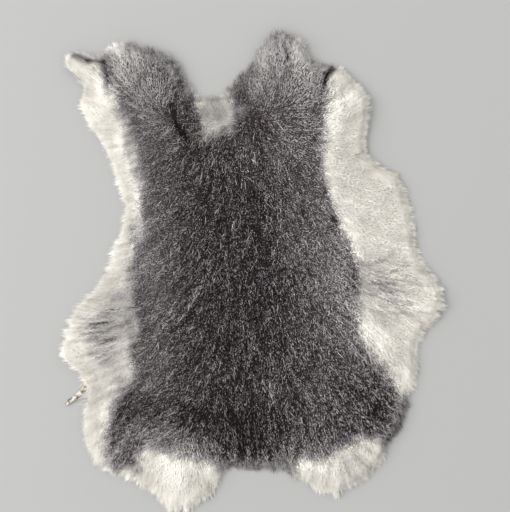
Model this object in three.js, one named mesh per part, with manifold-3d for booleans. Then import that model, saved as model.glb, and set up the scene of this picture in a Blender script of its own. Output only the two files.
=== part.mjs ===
// A rabbit skin pelt lying fur side up: one tanned skin with its fur on, and so one solid.
// Millimetres, +Z up. The head end points to +Y and the tail end to -Y. The origin is the middle of
// the flat patch of skin that the pelt rests on.
import * as THREE from "three";
import { mergeVertices } from "three/addons/utils/BufferGeometryUtils.js";
import Module from "manifold-3d";

// Skin
const skinThickness = 1.2;
const skinInset = 8; // how far the skin's cut edge lies inside the fur's rim
const skinInsetShare = 0.3; // the same in a narrow place, as a share of the room across it
const keptShare = 0.84; // a point of the skin's edge that comes nearer to the rim than this is left out

// Fur
const backPile = 17; // height of the fur over the skin on the back
const flankPile = 13.5; // the same on the flanks, where the hair is finer and lies flatter
const crownReach = 24; // the fur rounds up from its rim to its full height over this distance
const underRimRise = 0.9; // the fur's lower side at the rim, over the skin's lower side
const ripple = { height: 0.5, length: 57, slant: 1.7, stretch: 0.6 }; // small unevenness all over the fur

// Locks at the rim
const rimSteps = 280; // one lock stands on each step
const lockRestShare = 0.45; // share of the locks whose tips lie right on the floor
const lockRestSpread = 0.9; // how far the other tips stay above it, at most
const lockHang = 0.8; // how far a tip follows the skin's lift, as a share of it
const lockWaist = 0.62; // width at mid length, as a share of the root's
const lockWaistDrop = 0.42; // share of the fall to the tip that a lock has made at mid length
const lockBelly = 0.1; // how far a lock's lower side may lie below its tip
const lockUneven = 0.38; // share by which locks differ in length
const rootShare = 0.6; // how far a lock's root lies inside the outline, as a share of its length
const tailLean = 0.3; // how far locks lean towards the tail
const gatherShare = 0.7; // most that a lock reaches into a hollow of the rim, as a share of its radius

// Spacing of the points that the surfaces are made of
const skinSteps = 170; // points round the skin's cut edge
const topSpacing = 9.6;
const underSpacing = 17;
const lengthSteps = 20; // steps in which the length between two points of a curve is measured
const creaseSpacing = 7.5;
const shoulderInset = 5.4; // a first row of points inside the rim
const keptGap = 0.7; // gap that added points keep to the others, as a share of their spacing
const fillMargin = 0.6; // how far points inside a ring stay off it, as a share of their spacing

// How often a ring or its directions are averaged with their neighbours
const outwardPasses = 3;
const rimPasses = 2;
const skinPasses = 4;

// The fur's outline as seen from above, clockwise from the left shoulder. Each stretch has the length
// of its locks, the height of the fur at its rim, and the points that its outline passes.
const rimStretches = [
  {
    name: "left shoulder lobe",
    lock: 6.5,
    edge: 8,
    points: [
      [-125, 179], [-121, 187], [-112, 192], [-98, 187],
      [-82, 185], [-69, 178], [-60, 166], [-55, 154],
    ],
  },
  { name: "nape", lock: 3.5, edge: 4.5, points: [[-50, 145], [-37, 144.5], [-25, 146]] },
  {
    name: "right shoulder lobe",
    lock: 6.5,
    edge: 8,
    points: [
      [-18, 152], [-11, 163], [1, 174], [7, 186], [15, 197],
      [26, 201], [38, 194], [46, 183], [49, 174], [58, 173],
    ],
  },
  {
    name: "right foreleg edge",
    lock: 5.5,
    edge: 7,
    points: [[70, 172], [80, 167], [86, 157], [95, 150], [97, 134], [94, 114], [95, 100]],
  },
  {
    name: "right flank",
    lock: 7.5,
    edge: 6,
    points: [
      [108, 87], [125, 77], [130, 58], [136, 37], [139, 11],
      [149, -3], [160, -17], [160, -31], [150, -44],
    ],
  },
  {
    name: "right thigh",
    lock: 7,
    edge: 6,
    points: [[140, -57], [137, -71], [138.5, -88], [132, -104]],
  },
  { name: "right hind corner", lock: 5, edge: 7, points: [[129, -118], [123, -136], [113, -149]] },
  {
    name: "right hind tuft",
    lock: 10,
    edge: 7,
    points: [[106, -167], [87, -180], [70, -190], [55, -185], [41, -175]],
  },
  { name: "tail edge", lock: 6, edge: 6, points: [[23, -167], [1, -168], [-18, -165]] },
  {
    name: "left hind tuft",
    lock: 9,
    edge: 8,
    points: [
      [-27, -168], [-33, -182], [-43, -194], [-56, -202],
      [-71, -200], [-81, -189], [-94, -180], [-101, -173],
    ],
  },
  { name: "left hind corner", lock: 6, edge: 7, points: [[-109, -172], [-120, -171], [-130, -162]] },
  {
    name: "left thigh",
    lock: 7,
    edge: 6,
    points: [[-137, -151], [-141, -131], [-138, -108], [-139, -93]],
  },
  {
    name: "left flank",
    lock: 8,
    edge: 5.5,
    points: [
      [-150, -84], [-161, -73], [-157, -58], [-154, -46],
      [-144, -31], [-132, -17], [-122, -4], [-117, 14],
    ],
  },
  {
    name: "left waist",
    lock: 5,
    edge: 5.5,
    points: [[-110, 32], [-105, 54], [-113, 73], [-121, 100], [-133, 119], [-145, 142]],
  },
  {
    name: "left foreleg curl",
    lock: 3,
    edge: 5,
    points: [[-139, 154], [-143, 162], [-155, 169], [-158, 177], [-151, 185], [-138, 180]],
  },
];

// Edges of the skin that stand up from the floor: the place of each on the rim, and how far it spreads.
const lifts = [
  { name: "left shoulder lobe", x: -88, y: 192, reach: 62, rise: 7 },
  { name: "right shoulder lobe", x: 28, y: 202, reach: 58, rise: 6 },
  { name: "right foreleg edge", x: 100, y: 140, reach: 50, rise: 5 },
  { name: "left foreleg curl", x: -156, y: 178, reach: 42, rise: 5 },
  { name: "right flank", x: 162, y: -24, reach: 44, rise: 4 },
  { name: "left flank", x: -163, y: -72, reach: 44, rise: 3 },
];

// Swells and hollows in the fur, as soft mounds: half-lengths across and along the pelt, and height.
const swells = [
  { name: "left shoulder", x: -88, y: 128, across: 34, along: 44, rise: 3.4 },
  { name: "right shoulder", x: 28, y: 132, across: 36, along: 46, rise: 3.8 },
  { name: "nape hollow", x: -34, y: 134, across: 24, along: 20, rise: -4.2 },
  { name: "spine", x: 2, y: 10, across: 30, along: 130, rise: 1.8 },
  { name: "left loin", x: -66, y: -30, across: 40, along: 62, rise: 1.6 },
  { name: "right loin", x: 66, y: -46, across: 40, along: 60, rise: 2.2 },
  { name: "rump", x: 44, y: -118, across: 52, along: 32, rise: 2.6 },
  { name: "right breast", x: 76, y: 128, across: 20, along: 34, rise: 3.2 },
  { name: "right breast puff", x: 72, y: 158, across: 13, along: 13, rise: 2.2 },
  { name: "left hip", x: -110, y: -128, across: 22, along: 32, rise: 2.4 },
  { name: "left tuft", x: -62, y: -178, across: 26, along: 16, rise: 2.2 },
];

// Soft troughs where the fur parts or the pelt creases, from one end to the other.
const creases = [
  { name: "left shoulder crease", from: [-58, 156], to: [-66, 130], halfWidth: 9, depth: 5 },
  { name: "left shoulder crease, lower", from: [-66, 130], to: [-52, 108], halfWidth: 10, depth: 5 },
  { name: "right shoulder crease", from: [6, 128], to: [24, 108], halfWidth: 9, depth: 3.4 },
  { name: "left colour line, upper", from: [-121, 158], to: [-103, 96], halfWidth: 9, depth: 2.4 },
  { name: "left colour line, lower", from: [-101, 60], to: [-101, -80], halfWidth: 10, depth: 2 },
  { name: "right colour line, upper", from: [62, 150], to: [58, 92], halfWidth: 9, depth: 3.4 },
  { name: "right colour line, middle", from: [58, 92], to: [72, 42], halfWidth: 10, depth: 3.8 },
  { name: "right colour line, lower", from: [90, -18], to: [112, -82], halfWidth: 10, depth: 2 },
  { name: "flank fold", from: [95, 100], to: [82, 88], halfWidth: 8, depth: 2.4 },
  { name: "left haunch crease", from: [-98, -108], to: [-46, -122], halfWidth: 10, depth: 3.8 },
  { name: "left tail seam", from: [-43, -138], to: [-30, -162], halfWidth: 8, depth: 3.2 },
];

// The line between the back and each flank, where the pile changes height.
const backHalfWidth = 98;
const backMiddle = -8;
const backBlend = 16;

// A shred of bare skin that hangs from the cut edge below the left flank and lies on the floor.
const shred = {
  width: 4.4,
  thickness: 0.9,
  sides: 6,
  stations: 12,
  twist: 1.1, // how far it turns over along its route
  taper: 0.55,
  waviness: 0.22, // share by which its width varies
  rest: 0.1, // lowest height over the floor
};
const shredRoute = [
  [-131, -82, 2.4],
  [-138, -91, 1.9],
  [-142, -101, 0.9],
  [-149.5, -109, 0.6],
  [-159, -115, 0.6],
];

const furGrey = 0x6b6663;

// Returns a number from 0 to 1 that differs from step to step and is the same each time.
function scatter(step, series) {
  const wave = Math.sin(step * 12.9898 + series * 78.233) * 43758.5453;
  return wave - Math.floor(wave);
}

// Rises smoothly from 0 at or below 0 to 1 at or above 1.
function ease(share) {
  const held = Math.min(1, Math.max(0, share));
  return held * held * (3 - 2 * held);
}

function distanceToSegment(x, y, [startX, startY], [endX, endY]) {
  const runX = endX - startX;
  const runY = endY - startY;
  const along = ((x - startX) * runX + (y - startY) * runY) / (runX * runX + runY * runY);
  const held = Math.min(1, Math.max(0, along));
  return Math.hypot(x - startX - held * runX, y - startY - held * runY);
}

function distanceToRing(x, y, ring) {
  let nearest = Infinity;
  ring.forEach((point, index) => {
    nearest = Math.min(nearest, distanceToSegment(x, y, point, ring[(index + 1) % ring.length]));
  });
  return nearest;
}

function isInside(x, y, ring) {
  let inside = false;
  ring.forEach(([startX, startY], index) => {
    const [endX, endY] = ring[(index + 1) % ring.length];
    if (startY > y !== endY > y && x < startX + ((y - startY) * (endX - startX)) / (endY - startY)) {
      inside = !inside;
    }
  });
  return inside;
}

// Averages a ring of directions with their neighbours, so that they turn gradually.
function evenDirections(directions, passes) {
  let even = directions;
  for (let pass = 0; pass < passes; pass += 1) {
    even = even.map(([x, y], step) => {
      const before = even[(step + even.length - 1) % even.length];
      const after = even[(step + 1) % even.length];
      const sumX = before[0] + 2 * x + after[0];
      const sumY = before[1] + 2 * y + after[1];
      return [sumX / Math.hypot(sumX, sumY), sumY / Math.hypot(sumX, sumY)];
    });
  }
  return even;
}

// Follows the stretches' points with one closed curve and returns even steps along its outline.
// Each step has its place, the way out of the pelt, and its stretch's lock length and edge height.
function walkRim() {
  const rows = rimStretches.flatMap((stretch) => stretch.points.map(([x, y]) => ({ x, y, ...stretch })));
  const curve = new THREE.CatmullRomCurve3(
    rows.map((row) => new THREE.Vector3(row.x, row.y, 0)),
    true,
    "centripetal",
  );
  curve.arcLengthDivisions = rows.length * lengthSteps;
  return Array.from({ length: rimSteps }, (unused, step) => {
    const along = curve.getUtoTmapping(step / rimSteps);
    const place = curve.getPoint(along);
    const tangent = curve.getTangent(along);
    const before = Math.floor(along * rows.length) % rows.length;
    const after = (before + 1) % rows.length;
    const share = along * rows.length - Math.floor(along * rows.length);
    return {
      tip: [place.x, place.y],
      out: [-tangent.y, tangent.x],
      lock: THREE.MathUtils.lerp(rows[before].lock, rows[after].lock, share),
      edge: THREE.MathUtils.lerp(rows[before].edge, rows[after].edge, share),
    };
  });
}

// Moves each point of a ring in by its own distance, then evens the ring out.
function insetRing(ring, outward, distances, passes) {
  let moved = ring.map(([x, y], step) => [
    x - outward[step][0] * distances[step],
    y - outward[step][1] * distances[step],
  ]);
  for (let pass = 0; pass < passes; pass += 1) {
    moved = moved.map(([x, y], step) => {
      const before = moved[(step + moved.length - 1) % moved.length];
      const after = moved[(step + 1) % moved.length];
      return [(before[0] + 2 * x + after[0]) / 4, (before[1] + 2 * y + after[1]) / 4];
    });
  }
  return moved;
}

// Goes round through the points of a ring in even steps.
function evenRing(ring, steps) {
  const corners = ring.map(([x, y]) => new THREE.Vector3(x, y, 0));
  const curve = new THREE.CatmullRomCurve3(corners, true, "centripetal");
  curve.arcLengthDivisions = ring.length * lengthSteps;
  return curve.getSpacedPoints(steps).slice(0, steps).map((point) => [point.x, point.y]);
}

// The room from a point of a ring straight inwards to the far side.
function roomInside([x, y], [outX, outY], ring) {
  const stride = 2;
  const furthest = 60;
  for (let depth = stride; depth < furthest; depth += stride) {
    if (!isInside(x - outX * depth, y - outY * depth, ring)) {
      return depth;
    }
  }
  return furthest;
}

function liftAt(x, y) {
  return lifts.reduce((sum, lift) => {
    const share = Math.max(0, 1 - Math.hypot(x - lift.x, y - lift.y) / lift.reach);
    return sum + lift.rise * share * share;
  }, 0);
}

// Height of the fur's upper side. The fur rounds up from the edge height at the rim.
function furTopAt(x, y, rimRing, edge) {
  const crown = ease(distanceToRing(x, y, rimRing) / crownReach);
  const offBack = ease((Math.abs(x - backMiddle) - backHalfWidth) / backBlend + 0.5);
  let height = THREE.MathUtils.lerp(backPile, flankPile, offBack);
  swells.forEach((swell) => {
    const away = ((x - swell.x) / swell.across) ** 2 + ((y - swell.y) / swell.along) ** 2;
    height += swell.rise * Math.exp(-away);
  });
  creases.forEach((crease) => {
    const away = distanceToSegment(x, y, crease.from, crease.to) / crease.halfWidth;
    height -= crease.depth * Math.exp(-away * away);
  });
  const turnX = (2 * Math.PI * x) / ripple.length;
  const turnY = (2 * Math.PI * y) / ripple.length;
  const acrossWave = Math.sin(turnX + ripple.slant * Math.sin(turnY * ripple.stretch));
  const alongWave = Math.cos(turnY + ripple.slant * Math.sin(turnX * ripple.stretch));
  height += ripple.height * acrossWave * alongWave;
  return liftAt(x, y) + skinThickness + THREE.MathUtils.lerp(edge, height, crown);
}

// Adds each candidate that keeps the gap to every point already there.
function addSpread(points, candidates, gap) {
  candidates.forEach((candidate) => {
    if (points.every((point) => Math.hypot(point[0] - candidate[0], point[1] - candidate[1]) >= gap)) {
      points.push(candidate);
    }
  });
}

// Points in staggered rows, a little uneven, that lie inside the ring and keep off it.
function fillPoints(ring, spacing) {
  const xs = ring.map((point) => point[0]);
  const ys = ring.map((point) => point[1]);
  const rowGap = spacing * Math.sin(Math.PI / 3);
  const unevenness = spacing * 0.22;
  const filled = [];
  let row = 0;
  for (let y = Math.min(...ys); y < Math.max(...ys); y += rowGap) {
    let column = 0;
    for (let x = Math.min(...xs) + (row % 2) * (spacing / 2); x < Math.max(...xs); x += spacing) {
      const point = [
        x + unevenness * (scatter(column, row) - 0.5),
        y + unevenness * (scatter(row, column) - 0.5),
      ];
      if (isInside(...point, ring) && distanceToRing(...point, ring) >= spacing * fillMargin) {
        filled.push(point);
      }
      column += 1;
    }
    row += 1;
  }
  return filled;
}

// Joins points into triangles, each with an empty circle round it. They turn anticlockwise.
function triangulate(points) {
  const far = 4000;
  const all = [...points, [-far, -far], [far, -far], [0, far]];
  const withCircle = (first, second, third) => {
    const [x1, y1] = all[first];
    const [x2, y2] = [all[second][0] - x1, all[second][1] - y1];
    const [x3, y3] = [all[third][0] - x1, all[third][1] - y1];
    const turn = 2 * (x2 * y3 - x3 * y2);
    const centreX = (y3 * (x2 * x2 + y2 * y2) - y2 * (x3 * x3 + y3 * y3)) / turn;
    const centreY = (x2 * (x3 * x3 + y3 * y3) - x3 * (x2 * x2 + y2 * y2)) / turn;
    const corners = turn > 0 ? [first, second, third] : [first, third, second];
    return { corners, x: x1 + centreX, y: y1 + centreY, radius: Math.hypot(centreX, centreY) };
  };
  let triangles = [withCircle(points.length, points.length + 1, points.length + 2)];
  points.forEach(([x, y], index) => {
    const edges = new Map();
    triangles = triangles.filter((triangle) => {
      if (Math.hypot(x - triangle.x, y - triangle.y) >= triangle.radius) {
        return true;
      }
      triangle.corners.forEach((start, corner) => {
        const end = triangle.corners[(corner + 1) % 3];
        const key = `${Math.min(start, end)} ${Math.max(start, end)}`;
        if (!edges.delete(key)) {
          edges.set(key, [start, end]);
        }
      });
      return false;
    });
    edges.forEach(([start, end]) => triangles.push(withCircle(start, end, index)));
  });
  return triangles
    .map((triangle) => triangle.corners)
    .filter((corners) => corners.every((corner) => corner < points.length));
}

// Keeps the triangles whose middle is inside one ring and, where there is a second, outside that.
function trianglesBetween(points, outerRing, innerRing) {
  return triangulate(points).filter((corners) => {
    const x = corners.reduce((sum, corner) => sum + points[corner][0], 0) / 3;
    const y = corners.reduce((sum, corner) => sum + points[corner][1], 0) / 3;
    return isInside(x, y, outerRing) && !(innerRing && isInside(x, y, innerRing));
  });
}

// A closed body gathered vertex by vertex. addFace takes vertex numbers anticlockwise from outside.
class Body {
  positions = [];

  faces = [];

  addVertex(x, y, z) {
    this.positions.push(x, y, z);
    return this.positions.length / 3 - 1;
  }

  addRing(ring, heightAt) {
    return ring.map(([x, y], step) => this.addVertex(x, y, heightAt(x, y, step)));
  }

  addFace(first, second, third) {
    this.faces.push(first, second, third);
  }

  addQuad(first, second, third, fourth) {
    this.addFace(first, second, third);
    this.addFace(first, third, fourth);
  }

  toGeometry() {
    const geometry = new THREE.BufferGeometry();
    geometry.setAttribute("position", new THREE.Float32BufferAttribute(this.positions, 3));
    geometry.setIndex(this.faces);
    return geometry;
  }
}

// The longest lock that a step of the rim has room for: short where the rim bends round a hollow,
// so that neighbours don't meet.
function lockRoom(directions, stepLength, step) {
  const reach = 2;
  const span = 2 * reach + 1;
  const [beforeX, beforeY] = directions[(step + directions.length - reach) % directions.length];
  const [afterX, afterY] = directions[(step + span - reach) % directions.length];
  const turn = Math.atan2(beforeX * afterY - beforeY * afterX, beforeX * afterX + beforeY * afterY);
  return turn > 0 ? (gatherShare * span * stepLength) / turn : Infinity;
}

// A lock of four sides on one step of the rim: its root is the rim's own band, it narrows at a waist,
// and its tip droops to the floor or, where the skin is lifted, hangs just under the rim.
function addLock(body, roots, [outX, outY], fullLength, step) {
  const length = fullLength * (1 + lockUneven * (2 * scatter(step, 1) - 1));
  const size = Math.hypot(outX, outY - tailLean);
  const [wayX, wayY] = [outX / size, (outY - tailLean) / size];
  const corner = (vertex) => new THREE.Vector3().fromArray(body.positions, vertex * 3);
  const rootCorners = roots.map(corner);
  const middle = rootCorners.reduce((sum, point) => sum.add(point), new THREE.Vector3()).divideScalar(4);
  const aboveFloor = Math.max(0, scatter(step, 2) - lockRestShare) / (1 - lockRestShare);
  const tip = new THREE.Vector3(
    middle.x + wayX * length,
    middle.y + wayY * length,
    lockHang * liftAt(middle.x, middle.y) + lockRestSpread * aboveFloor,
  );
  const waistMiddle = middle.clone().lerp(tip, 0.5);
  waistMiddle.z = THREE.MathUtils.lerp(middle.z, tip.z, lockWaistDrop);
  const lowest = Math.max(0, tip.z - lockBelly);
  const waist = rootCorners.map((point) => {
    const place = point.clone().sub(middle).multiplyScalar(lockWaist).add(waistMiddle);
    return body.addVertex(place.x, place.y, Math.max(lowest, place.z));
  });
  const tipVertex = body.addVertex(tip.x, tip.y, tip.z);
  roots.forEach((root, side) => {
    const beside = (side + 1) % roots.length;
    body.addQuad(root, roots[beside], waist[beside], waist[side]);
    body.addFace(waist[side], waist[beside], tipVertex);
  });
}

// The skin and its fur as one body. From the middle of the lower side: the flat skin, its cut edge,
// the fur's lower side out to the rim, the locks, and the fur's upper side.
function makeFurredSkin() {
  const rim = walkRim();
  const outward = evenDirections(rim.map((step) => step.out), outwardPasses);
  const rootDistances = rim.map((step) => step.lock * rootShare);
  const rimRing = insetRing(rim.map((step) => step.tip), outward, rootDistances, rimPasses);
  const skinDistances = rimRing.map((point, step) =>
    Math.min(skinInset, skinInsetShare * roomInside(point, outward[step], rimRing)),
  );
  const keptPoints = insetRing(rimRing, outward, skinDistances, skinPasses).filter(([x, y], step) => {
    const nearest = distanceToRing(x, y, rimRing);
    return isInside(x, y, rimRing) && nearest > skinDistances[step] * keptShare;
  });
  const skinRing = evenRing(keptPoints, skinSteps);

  const body = new Body();
  const topRim = body.addRing(rimRing, (x, y, step) => liftAt(x, y) + skinThickness + rim[step].edge);
  const lowRim = body.addRing(rimRing, (x, y) => liftAt(x, y) + underRimRise);
  const skinTop = body.addRing(skinRing, (x, y) => liftAt(x, y) + skinThickness);
  const skinLow = body.addRing(skinRing, liftAt);

  const topPoints = [...rimRing];
  const shoulderRing = insetRing(rimRing, outward, rimRing.map(() => shoulderInset), 1);
  addSpread(topPoints, shoulderRing, shoulderInset * keptGap);
  creases.forEach((crease) => {
    const length = Math.hypot(crease.to[0] - crease.from[0], crease.to[1] - crease.from[1]);
    const count = Math.round(length / creaseSpacing);
    const line = Array.from({ length: count + 1 }, (unused, index) => [
      THREE.MathUtils.lerp(crease.from[0], crease.to[0], index / count),
      THREE.MathUtils.lerp(crease.from[1], crease.to[1], index / count),
    ]);
    addSpread(topPoints, line.filter((point) => isInside(...point, rimRing)), creaseSpacing * keptGap);
  });
  addSpread(topPoints, fillPoints(rimRing, topSpacing), topSpacing * keptGap);
  const topVertices = [...topRim];
  topPoints.slice(rimRing.length).forEach(([x, y]) => {
    const nearest = rimRing.reduce((best, point, step) => {
      const away = Math.hypot(point[0] - x, point[1] - y);
      return away < best.away ? { away, step } : best;
    }, { away: Infinity, step: 0 });
    topVertices.push(body.addVertex(x, y, furTopAt(x, y, rimRing, rim[nearest.step].edge)));
  });
  trianglesBetween(topPoints, rimRing).forEach(([first, second, third]) => {
    body.addFace(topVertices[first], topVertices[second], topVertices[third]);
  });

  rimRing.forEach(([x, y], step) => {
    const next = (step + 1) % rimRing.length;
    const room = lockRoom(outward, Math.hypot(rimRing[next][0] - x, rimRing[next][1] - y), step);
    const roots = [lowRim[next], lowRim[step], topRim[step], topRim[next]];
    addLock(body, roots, outward[step], Math.min(rim[step].lock, room), step);
  });

  const bandPoints = [...rimRing, ...skinRing];
  const bandVertices = [...lowRim, ...skinTop];
  trianglesBetween(bandPoints, rimRing, skinRing).forEach(([first, second, third]) => {
    body.addFace(bandVertices[first], bandVertices[third], bandVertices[second]);
  });
  skinRing.forEach((point, step) => {
    const next = (step + 1) % skinRing.length;
    body.addQuad(skinLow[next], skinLow[step], skinTop[step], skinTop[next]);
  });

  const liftedPoints = fillPoints(skinRing, underSpacing).filter(([x, y]) => liftAt(x, y) > 0);
  const lowPoints = [...skinRing, ...liftedPoints];
  const lowVertices = [...skinLow, ...body.addRing(liftedPoints, liftAt)];
  trianglesBetween(lowPoints, skinRing).forEach(([first, second, third]) => {
    body.addFace(lowVertices[first], lowVertices[third], lowVertices[second]);
  });
  return body.toGeometry();
}

// A strip of skin with an oval section that twists along its route and comes to a point at its end.
function makeShred() {
  const curve = new THREE.CatmullRomCurve3(shredRoute.map((point) => new THREE.Vector3(...point)));
  const body = new Body();
  const rings = Array.from({ length: shred.stations }, (unused, station) => {
    const along = station / shred.stations;
    const place = curve.getPoint(along);
    const tangent = curve.getTangent(along);
    const across = new THREE.Vector3(-tangent.y, tangent.x, 0).normalize();
    const size = (1 - shred.taper * along) * (1 + shred.waviness * (2 * scatter(station, 4) - 1));
    return Array.from({ length: shred.sides }, (unusedSide, side) => {
      const angle = (2 * Math.PI * side) / shred.sides;
      const wide = (Math.cos(angle) * shred.width * size) / 2;
      const high = (Math.sin(angle) * shred.thickness) / 2;
      const roll = shred.twist * along;
      const sideways = wide * Math.cos(roll) - high * Math.sin(roll);
      const upwards = wide * Math.sin(roll) + high * Math.cos(roll);
      return body.addVertex(
        place.x + across.x * sideways,
        place.y + across.y * sideways,
        Math.max(shred.rest, place.z + upwards),
      );
    });
  });
  const start = body.addVertex(...shredRoute[0]);
  const end = body.addVertex(...shredRoute[shredRoute.length - 1]);
  for (let side = 0; side < shred.sides; side += 1) {
    const beside = (side + 1) % shred.sides;
    body.addFace(start, rings[0][beside], rings[0][side]);
    for (let station = 1; station < shred.stations; station += 1) {
      const before = rings[station - 1];
      const after = rings[station];
      body.addQuad(before[side], before[beside], after[beside], after[side]);
    }
    const last = rings[shred.stations - 1];
    body.addFace(last[side], last[beside], end);
  }
  return body.toGeometry();
}

const manifoldLibrary = await Module();
manifoldLibrary.setup();

function toSolid(geometry) {
  const merged = mergeVertices(geometry);
  return new manifoldLibrary.Manifold(
    new manifoldLibrary.Mesh({
      numProp: 3,
      vertProperties: new Float32Array(merged.attributes.position.array),
      triVerts: new Uint32Array(merged.index.array),
    }),
  );
}

function fromSolid(solid) {
  const mesh = solid.getMesh();
  const geometry = new THREE.BufferGeometry();
  geometry.setAttribute("position", new THREE.Float32BufferAttribute(mesh.vertProperties, 3));
  geometry.setIndex(Array.from(mesh.triVerts));
  return geometry;
}

const pelt = new THREE.Mesh(
  fromSolid(toSolid(makeFurredSkin()).add(toSolid(makeShred()))),
  new THREE.MeshStandardMaterial({ color: furGrey, roughness: 0.95, metalness: 0 }),
);
pelt.name = "rabbit_pelt";

const group = new THREE.Group();
group.add(pelt);

export default group;
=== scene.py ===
import math
import bpy
import numpy as np
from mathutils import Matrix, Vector
from mathutils.bvhtree import BVHTree


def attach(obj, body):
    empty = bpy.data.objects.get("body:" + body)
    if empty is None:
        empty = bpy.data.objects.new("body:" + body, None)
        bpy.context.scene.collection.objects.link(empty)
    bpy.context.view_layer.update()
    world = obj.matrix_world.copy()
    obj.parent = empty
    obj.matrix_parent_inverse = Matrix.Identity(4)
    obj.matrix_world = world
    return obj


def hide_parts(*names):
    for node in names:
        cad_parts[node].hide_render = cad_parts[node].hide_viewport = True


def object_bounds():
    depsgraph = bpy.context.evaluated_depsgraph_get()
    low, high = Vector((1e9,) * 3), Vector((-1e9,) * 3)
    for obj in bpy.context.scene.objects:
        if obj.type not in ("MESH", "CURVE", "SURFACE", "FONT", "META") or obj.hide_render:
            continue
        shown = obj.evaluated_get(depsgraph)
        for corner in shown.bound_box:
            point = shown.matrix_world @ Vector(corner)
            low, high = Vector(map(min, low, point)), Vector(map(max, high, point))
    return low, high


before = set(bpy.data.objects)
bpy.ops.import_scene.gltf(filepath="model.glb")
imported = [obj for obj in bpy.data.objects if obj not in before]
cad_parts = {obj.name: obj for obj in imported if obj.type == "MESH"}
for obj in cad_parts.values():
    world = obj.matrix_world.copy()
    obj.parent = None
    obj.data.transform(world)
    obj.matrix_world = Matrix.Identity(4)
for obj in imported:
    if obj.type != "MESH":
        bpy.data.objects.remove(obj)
cadLow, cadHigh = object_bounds()
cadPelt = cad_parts["rabbit_pelt"]
mm = 0.001    # tables below are in millimetres, as the pelt was measured
scatter = np.random.default_rng(20413)


def deselectAll():
    bpy.ops.object.select_all(action="DESELECT")
    bpy.context.view_layer.objects.active = None


def makeActive(piece):
    deselectAll()
    piece.select_set(True)
    bpy.context.view_layer.objects.active = piece


def addPiece(name, mesh):
    piece = bpy.data.objects.new(name, mesh)
    bpy.context.scene.collection.objects.link(piece)
    makeActive(piece)
    return piece


def copyOfSolid(name):    # the solid's loose triangles, joined into one skin of faces
    piece = addPiece(name, cadPelt.data.copy())
    piece.data.materials.clear()
    bpy.ops.object.mode_set(mode="EDIT")
    bpy.ops.mesh.select_all(action="SELECT")
    bpy.ops.mesh.remove_doubles(threshold=0.00001)
    bpy.ops.object.mode_set(mode="OBJECT")
    bpy.ops.object.shade_smooth()
    return piece


def applyModifier(piece, kind, **settings):
    modifier = piece.modifiers.new(kind, kind)
    for setting, value in settings.items():
        setattr(modifier, setting, value)
    bpy.ops.object.modifier_apply(modifier=modifier.name)


def makeClouds(name, scale):
    texture = bpy.data.textures.new(name, "CLOUDS")
    texture.noise_scale = scale
    return texture


# The camera looks straight down, head end up, with the photo's framing

cameraSet = {
    "middle": (0.0026, 0.0119),     # what the middle of the picture shows
    "height": 1.25,
    "pictureWidth": 0.4335,         # real width that the picture's width spans
    "sensor": 36.0,
}


def addCamera():
    bpy.ops.object.camera_add(location=(*cameraSet["middle"], cameraSet["height"]), rotation=(0, 0, 0))
    camera = bpy.context.object
    camera.name = "camera_above"
    camera.data.sensor_fit = "HORIZONTAL"
    camera.data.sensor_width = cameraSet["sensor"]
    camera.data.lens = cameraSet["sensor"] * cameraSet["height"] / cameraSet["pictureWidth"]
    camera.data.clip_start = 0.01
    camera.data.clip_end = 20
    bpy.context.scene.camera = camera


deselectAll()
addCamera()
print("camera in place")


# Heights of the pelt, read by looking down on the solid and up at it from below

mapSet = {
    "step": 1.0 * mm,
    "margin": 12 * mm,    # round the solid
    "slab": 3.4 * mm,     # anything thicker than this is fur
    "inward": 40 * mm,    # how far in from the rim depths are told apart
    "outward": 20 * mm,   # and how far out from it
    "carried": 14,        # steps that heights are carried past the rim
}


def readHeights():
    step, margin = mapSet["step"], mapSet["margin"]
    xs = np.arange(cadLow.x - margin, cadHigh.x + margin, step)
    ys = np.arange(cadLow.y - margin, cadHigh.y + margin, step)
    tree = BVHTree.FromPolygons([v.co[:] for v in cadPelt.data.vertices],
                                [p.vertices[:] for p in cadPelt.data.polygons])
    top = np.full((len(ys), len(xs)), np.nan)
    low = np.full((len(ys), len(xs)), np.nan)
    down, up = Vector((0, 0, -1)), Vector((0, 0, 1))
    for row, y in enumerate(ys):
        for column, x in enumerate(xs):
            hit = tree.ray_cast(Vector((x, y, 0.1)), down)[0]
            if hit is not None:
                top[row, column] = hit.z
                low[row, column] = tree.ray_cast(Vector((x, y, -0.1)), up)[0].z
    return xs, ys, top, low


def rimDistance(inside, step, furthest):    # how far each place lies inside, counted in shrinking steps
    depth = np.zeros(inside.shape)
    now = inside.copy()
    for turn in range(int(furthest / step)):
        depth[now] += step
        around = [np.roll(now, 1, 0), np.roll(now, -1, 0), np.roll(now, 1, 1), np.roll(now, -1, 1)]
        if turn % 2:
            around += [np.roll(around[0], 1, 1), np.roll(around[0], -1, 1),
                       np.roll(around[1], 1, 1), np.roll(around[1], -1, 1)]
        now = now & np.all(around, axis=0)
    return depth


def carriedPast(values, known, turns):    # values carried a few steps past their edge
    filled, have = np.where(known, values, 0.0), known.copy()
    for _ in range(turns):
        total, count = np.zeros(values.shape), np.zeros(values.shape)
        for shift, axis in ((1, 0), (-1, 0), (1, 1), (-1, 1)):
            total += np.roll(np.where(have, filled, 0.0), shift, axis)
            count += np.roll(have, shift, axis)
        new = ~have & (count > 0)
        filled[new] = total[new] / count[new]
        have |= new
    return filled


mapXs, mapYs, topMap, lowMap = readHeights()
wholeMap = ~np.isnan(topMap)
slabMap = np.nan_to_num(topMap - lowMap) > mapSet["slab"]
rimMap = rimDistance(slabMap, mapSet["step"], mapSet["inward"])
beyondMap = rimDistance(~wholeMap, mapSet["step"], mapSet["outward"])
topMap = carriedPast(topMap, wholeMap, mapSet["carried"])
lowMap = carriedPast(lowMap, wholeMap, mapSet["carried"])


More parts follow.
